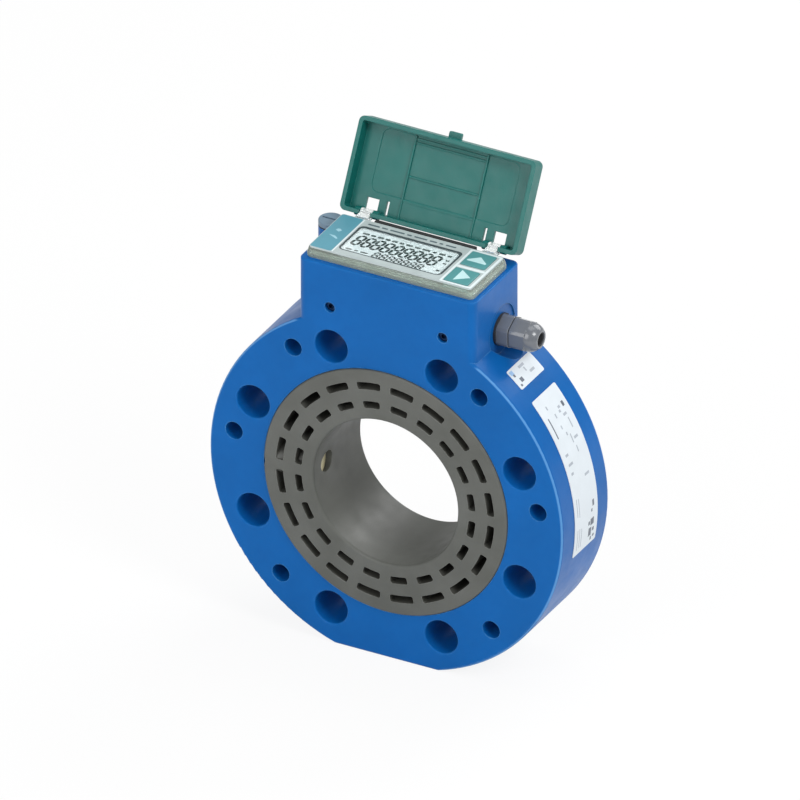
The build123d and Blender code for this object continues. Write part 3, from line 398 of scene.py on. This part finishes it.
# Looks of the printed pieces
inks = {
    "teal_strip": printed("teal_strip", srgb(92, 156, 174), 0.3, 0.42, fleck=0.04),
    "bright_line": printed("bright_line", srgb(226, 238, 240), 0.35, 0.5, fleck=0.02),
    "pale_mark": printed("pale_mark", srgb(158, 206, 220), 0.35, 0.5),
    "key_light": printed("key_light", srgb(196, 232, 234), 0.35, 0.5),
    # Painted shade of the window's recess wall, drawn as a dark ring
    "window_shade_ink": printed("window_shade_ink", srgb(74, 84, 88), 0.3, 0.45),
    "face_text": printed("face_text", srgb(92, 108, 114)),
    "lcd_ink": printed("lcd_ink", srgb(44, 47, 47), 0.25, 0.4),
    "lcd_faint": printed("lcd_faint", srgb(82, 86, 86), 0.25, 0.4),
    "label_ink": printed("label_ink", srgb(96, 104, 116)),
    "label_faint": printed("label_faint", srgb(166, 174, 184)),
    "label_blue": printed("label_blue", srgb(150, 186, 224)),
}


# Thin printed solids


class Sheets:
    """Thin closed solids gathered into one mesh."""

    def __init__(self):
        self.points = []
        self.faces = []

    def layers(self, low, high):
        """Closed solid between two outlines with the same number of points."""
        start = len(self.points)
        count = len(low)
        self.points += list(low) + list(high)
        self.faces.append([start + k for k in reversed(range(count))])
        self.faces.append([start + count + k for k in range(count)])
        for k in range(count):
            n = (k + 1) % count
            self.faces.append([start + k, start + n, start + count + n, start + count + k])

    def flat(self, outline, z):
        """Printed area on a level surface at height z, from its outline run anticlockwise."""
        self.layers([(x, y, z) for x, y in outline], [(x, y, z + PRINT_T) for x, y in outline])

    def frame(self, outer, inner, z):
        """Printed line between two outlines with the same number of points."""
        start = len(self.points)
        count = len(outer)
        for height in (z, z + PRINT_T):
            self.points += [(x, y, height) for x, y in outer]
            self.points += [(x, y, height) for x, y in inner]
        for k in range(count):
            n = (k + 1) % count
            a, b = start + k, start + n
            c, d = a + count, b + count
            up = 2 * count
            self.faces.append([a + up, b + up, d + up, c + up])
            self.faces.append([a, c, d, b])
            self.faces.append([a, b, b + up, a + up])
            self.faces.append([c, c + up, d + up, d])

    def rim(self, low, high, y0, y1):
        """Printed area on the labels round the rim, between two angles and two distances along the bore."""
        largest_step = 1.5
        steps = max(1, math.ceil((high - low) / largest_step))
        start = len(self.points)
        for k in range(steps + 1):
            turn = math.radians(low + (high - low) * k / steps)
            for radius in (LABEL_R - PRINT_T, LABEL_R + PRINT_T / 2):
                for y in (y0, y1):
                    self.points.append((radius * math.cos(turn), y, radius * math.sin(turn)))
        for k in range(steps):
            a = start + 4 * k
            b = a + 4
            self.faces.append([a, b, b + 1, a + 1])
            self.faces.append([a + 2, a + 3, b + 3, b + 2])
            self.faces.append([a, a + 2, b + 2, b])
            self.faces.append([a + 1, b + 1, b + 3, a + 3])
        end = start + 4 * steps
        self.faces.append([start, start + 1, start + 3, start + 2])
        self.faces.append([end, end + 2, end + 3, end + 1])

    def piece(self, name, ink, body):
        """Makes the object and lets it ride on a body."""
        mesh = bpy.data.meshes.new(name)
        mesh.from_pydata([Vector(p) * MM for p in self.points], [], self.faces)
        mesh.validate()
        mesh.materials.append(inks[ink].material)
        made = bpy.data.objects.new(name, mesh)
        bpy.context.scene.collection.objects.link(made)
        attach(made, body)


def rounded(x0, x1, y0, y1, corner, steps=6):
    """Outline of a rectangle with rounded corners, anticlockwise from the right end of the first corner."""
    left, right, front, back = x0 + corner, x1 - corner, y0 + corner, y1 - corner
    outline = []
    for k, (cx, cy) in enumerate(((right, back), (left, back), (left, front), (right, front))):
        for step in range(steps + 1):
            turn = math.radians(90 * k + 90 * step / steps)
            outline.append((cx + corner * math.cos(turn), cy + corner * math.sin(turn)))
    return outline


def bars(sheets, spans, across, corner, z):
    """Row of printed bars at height z, from the left end and length of each and the row's two Y edges."""
    for x, length in spans:
        sheets.flat(rounded(x, x + length, *across, corner), z)


def rim_bars(sheets, places):
    """Printed bars on the rim labels, each from two angles and two distances along the bore."""
    for place in places:
        sheets.rim(*place)


# Display: the two ends of each segment of a figure, as shares of its width and height, clockwise from the top
# one with the middle one last
SEGMENTS = (
    ((0, 1), (1, 1)),
    ((1, 1), (1, 0.5)),
    ((1, 0.5), (1, 0)),
    ((0, 0), (1, 0)),
    ((0, 0.5), (0, 0)),
    ((0, 1), (0, 0.5)),
    ((0, 0.5), (1, 0.5)),
)

# How far a figure leans for its height, and what a segment leaves free at each end, as a share of its stroke
SLANT = 0.16
SEGMENT_GAP = 0.62

# Large figures: left end and pitch, and the point that stands that far into the pitch after five of them
FIGURE_X = -28.6
FIGURE_PITCH = 5.25
FIGURES_BEFORE_POINT = 5
POINT_INSET = 4.1


def digit(sheets, x, y, width, height, stroke):
    """One figure eight of slanted segments, with its lower left corner at x, y."""
    for (u0, v0), (u1, v1) in SEGMENTS:
        a = Vector((x + u0 * width, y + v0 * height))
        b = Vector((x + u1 * width, y + v1 * height))
        along = (b - a).normalized()
        side = Vector((-along.y, along.x)) * stroke / 2
        a += along * stroke * SEGMENT_GAP
        b -= along * stroke * SEGMENT_GAP
        tip = along * stroke / 2
        outline = [a - tip, a - side, b - side, b + tip, b + side, a + side]
        sheets.flat([(p.x + SLANT * (p.y - y), p.y) for p in outline], GLASS_TOP)


def digit_row(sheets, count, first_x, pitch, **shape):
    """Row of figures, each a pitch from the last."""
    for k in range(count):
        digit(sheets, first_x + pitch * k, **shape)


figures = Sheets()
digit_row(figures, 9, FIGURE_X, FIGURE_PITCH, y=-7.9, width=3.5, height=9.0, stroke=1.4)
digit_row(figures, 7, -13.6, 4.0, y=-14.5, width=2.6, height=4.8, stroke=0.95)
point_x = FIGURE_X + FIGURE_PITCH * FIGURES_BEFORE_POINT + POINT_INSET
bars(figures, [(point_x, 0.8)], (-8.3, -7.5), 0.3, GLASS_TOP)
figures.piece("lcd_figures", "lcd_ink", "meter")

lcd_signs = Sheets()
upper_signs = [
    (-27.6, 3.6), (-23.0, 2.6), (-19.4, 3.4), (-15.0, 2.6), (-11.4, 3.0), (-7.2, 2.4),
    (-3.6, 3.6), (1.2, 3.0), (5.4, 4.4), (11.2, 2.2), (14.6, 3.6), (19.4, 2.4),
]
bars(lcd_signs, upper_signs, (2.9, 4.6), 0.5, GLASS_TOP)
bars(lcd_signs, [(-28.4, 3.4), (-23.6, 2.0), (-20.4, 4.2)], (-13.4, -12.2), 0.4, GLASS_TOP)
for y in (-1.2, -4.4, -11.6):
    bars(lcd_signs, [(20.6, 2.0)], (y, y + 1.3), 0.4, GLASS_TOP)
lcd_signs.piece("lcd_signs", "lcd_faint", "meter")

# Faceplate print
# Painted shade: a dark ring round the window, thicker at the top and right, stands in for the shade of the
# window's recess wall
window_shade = Sheets()
window_shade.frame(rounded(-31.5, 25.6, -16.0, 9.3, 2.9), rounded(-30.6, 24.5, -15.3, 7.9, 2.2), LENS_TOP)
window_shade.piece("window_shade_ring", "window_shade_ink", "meter")

strip = Sheets()
strip.flat(rounded(-44.7, -32.9, -19.9, 14.5, 1.2), FACE_TOP)
strip.piece("face_strip", "teal_strip", "meter")

lines = Sheets()
lines.flat(rounded(-32.8, -32.0, -19.9, 14.5, 0.3), FACE_TOP)
lines.frame(rounded(27.1, 44.8, -19.9, 14.1, 0.8), rounded(28.3, 43.6, -18.7, 12.9, 0.4), FACE_TOP)
lines.flat(rounded(28.4, 43.5, -3.9, -2.1, 0.4), FACE_TOP)
lines.piece("face_lines", "bright_line", "meter")

strip_signs = Sheets()
strip_top = FACE_TOP + PRINT_T
strip_signs.flat([(-40.4, -0.6), (-38.4, -1.6), (-37.4, 0.1), (-38.8, 1.3), (-40.1, 1.0)], strip_top)
strip_signs.flat([(-41.4, -5.8), (-36.2, -8.4), (-35.7, -7.5), (-38.2, -5.6)], strip_top)
strip_signs.piece("strip_signs", "pale_mark", "meter")

face_marks = Sheets()
mark_spans = [
    (-29.0, 6.5), (-21.3, 3.2), (-16.8, 8.0), (-7.4, 2.6),
    (-3.4, 7.2), (5.2, 4.0), (10.6, 2.0), (14.2, 5.6),
]
bars(face_marks, mark_spans, (11.1, 12.3), 0.4, FACE_TOP)
face_marks.piece("face_marks", "face_text", "meter")

# Key signs: a wide arrowhead pointing up on the rear key, and one pointing right on the front key
up_sign = Sheets()
up_sign.flat([(30.2, 3.1), (40.6, 3.1), (40.6, 4.1), (35.4, 8.6), (30.2, 4.1)], KEY_TOP)
up_sign.piece("up_sign", "key_light", "up_button")
right_sign = Sheets()
right_sign.flat([(33.2, -16.8), (40.2, -11.6), (33.2, -6.4)], KEY_TOP)
right_sign.piece("right_sign", "key_light", "right_button")

# Label print: plain bars and blocks, of the large label first and then of the small one above it
dark_bars = Sheets()
large_label_blocks = [
    (27.6, 34.2, -8.0, -7.2),
    (34.0, 35.6, 7.4, 9.2),
    (-4.0, -1.8, 4.8, 8.2),
    (-3.4, -2.2, 2.6, 4.2),
    (-7.4, -4.6, 3.2, 6.0),
    (-6.4, -5.2, 7.0, 8.8),
    (-9.2, -8.0, 5.6, 7.0),
    (-8.6, -7.8, 8.0, 9.6),
    (0.4, 1.4, 5.4, 6.6),
    (2.0, 4.0, 6.8, 8.4),
]
small_label_blocks = [(47.2, 48.6, -7.4, -4.8), (46.3, 47.0, -9.6, -8.2), (49.6, 50.5, -9.4, -8.0)]
rim_bars(dark_bars, large_label_blocks + small_label_blocks)
dark_bars.piece("label_blocks", "label_ink", "meter")

faint_bars = Sheets()
large_label_lines = [
    (36.2, 37.4, -4.8, -3.8),
    (32.6, 34.0, -1.6, -0.7),
    (27.4, 30.6, 6.4, 7.2),
    (29.0, 30.2, -1.8, -0.9),
    (26.6, 27.6, -0.2, 0.8),
    (34.4, 35.2, 3.4, 5.4),
    (33.2, 34.0, 2.6, 4.2),
    (31.6, 32.4, 4.4, 7.4),
    (24.2, 25.0, 4.4, 7.8),
    (21.6, 22.4, -7.8, -5.2),
    (18.6, 19.4, -7.8, -3.8),
    (15.8, 16.6, -7.8, -5.6),
    (12.6, 13.4, 3.4, 7.6),
    (23.6, 26.4, 2.2, 3.0),
    (20.4, 22.4, 3.4, 4.2),
    (2.6, 8.4, -8.6, -8.0),
    (2.0, 8.0, -6.6, -6.0),
    (-8.6, -1.8, -8.6, -8.0),
    (-8.2, -1.8, -6.6, -6.0),
    (-8.4, -2.2, -4.6, -4.0),
]
small_label_lines = [(48.8, 50.2, 0.4, 1.4), (47.6, 48.4, 2.6, 6.8), (50.6, 51.4, -2.2, 2.8)]
rim_bars(faint_bars, large_label_lines + small_label_lines)
faint_bars.piece("label_lines", "label_faint", "meter")

blue_mark = Sheets()
rim_bars(blue_mark, [(50.4, 51.8, -10.4, -7.6)])
blue_mark.piece("label_tick", "label_blue", "meter")


# Stage: floor, lamps, world and camera


def bright_to_camera(tree, seen, lit):
    """Shader that is one thing to the camera, also through clear pieces, and another to all other rays."""
    path = tree.nodes.new("ShaderNodeLightPath")
    either = tree.nodes.new("ShaderNodeMath")
    either.operation = "MAXIMUM"
    tree.links.new(path.outputs["Is Camera Ray"], either.inputs[0])
    tree.links.new(path.outputs["Is Transmission Ray"], either.inputs[1])
    mixed = tree.nodes.new("ShaderNodeMixShader")
    tree.links.new(either.outputs["Value"], mixed.inputs[0])
    tree.links.new(lit, mixed.inputs[1])
    tree.links.new(seen, mixed.inputs[2])
    return mixed.outputs["Shader"]


def make_floor():
    """Plain pale floor that keeps a soft shadow."""
    half = FLOOR_HALF
    z = FOOT_Z * MM
    mesh = bpy.data.meshes.new("floor")
    corners = [(-half, -half, z), (half, -half, z), (half, half, z), (-half, half, z)]
    mesh.from_pydata(corners, [], [(0, 1, 2, 3)])
    floor = bpy.data.objects.new("floor", mesh)
    bpy.context.scene.collection.objects.link(floor)
    material = bpy.data.materials.new("floor_paint")
    material.use_nodes = True
    tree = material.node_tree
    tree.nodes.clear()
    diffuse = tree.nodes.new("ShaderNodeBsdfDiffuse")
    diffuse.inputs["Color"].default_value = (FLOOR_GREY, FLOOR_GREY, FLOOR_GREY, 1)
    glow = tree.nodes.new("ShaderNodeEmission")
    glow.inputs["Strength"].default_value = 1.0
    soft = tree.nodes.new("ShaderNodeMixShader")
    soft.inputs[0].default_value = FLOOR_GLOW
    tree.links.new(diffuse.outputs[0], soft.inputs[1])
    tree.links.new(glow.outputs[0], soft.inputs[2])
    output = tree.nodes.new("ShaderNodeOutputMaterial")
    shader = bright_to_camera(tree, soft.outputs["Shader"], diffuse.outputs[0])
    tree.links.new(shader, output.inputs["Surface"])
    mesh.materials.append(material)


def make_world():
    """Even pale light from all round, seen as white."""
    world = bpy.data.worlds.new("studio")
    world.use_nodes = True
    tree = world.node_tree
    tree.nodes.clear()
    lit = tree.nodes.new("ShaderNodeBackground")
    lit.inputs["Strength"].default_value = WORLD_LIGHT
    lit.inputs["Color"].default_value = (1.0, 1.0, 1.0, 1)
    seen = tree.nodes.new("ShaderNodeBackground")
    seen.inputs["Color"].default_value = (1.0, 1.0, 1.0, 1)
    seen.inputs["Strength"].default_value = 1.0
    output = tree.nodes.new("ShaderNodeOutputWorld")
    tree.links.new(bright_to_camera(tree, seen.outputs[0], lit.outputs[0]), output.inputs["Surface"])
    bpy.context.scene.world = world


def make_lamp(name, place, size, power):
    """Soft square lamp that points at the object."""
    lamp = bpy.data.lights.new(name, "AREA")
    lamp.size = size
    lamp.energy = power
    held = bpy.data.objects.new(name, lamp)
    held.location = place
    held.rotation_mode = "QUATERNION"
    held.rotation_quaternion = (-Vector(place)).to_track_quat("-Z", "Y")
    bpy.context.scene.collection.objects.link(held)


def make_camera():
    """Camera at the photograph's angle."""
    azimuth = math.radians(CAMERA_AZIMUTH)
    elevation = math.radians(CAMERA_ELEVATION)
    level = math.cos(elevation)
    back = Vector((math.sin(azimuth) * level, -math.cos(azimuth) * level, math.sin(elevation)))
    data = bpy.data.cameras.new("camera")
    data.type = "ORTHO"
    data.ortho_scale = CAMERA_WIDTH * MM
    camera = bpy.data.objects.new("camera", data)
    camera.location = (Vector(CAMERA_AIM) + back * CAMERA_DISTANCE) * MM
    camera.rotation_mode = "QUATERNION"
    camera.rotation_quaternion = (-back).to_track_quat("-Z", "Y")
    bpy.context.scene.collection.objects.link(camera)
    bpy.context.scene.camera = camera


make_floor()
make_world()
for name, settings in LAMPS.items():
    make_lamp(name, *settings)
make_camera()
bpy.context.scene.view_settings.view_transform = "Standard"
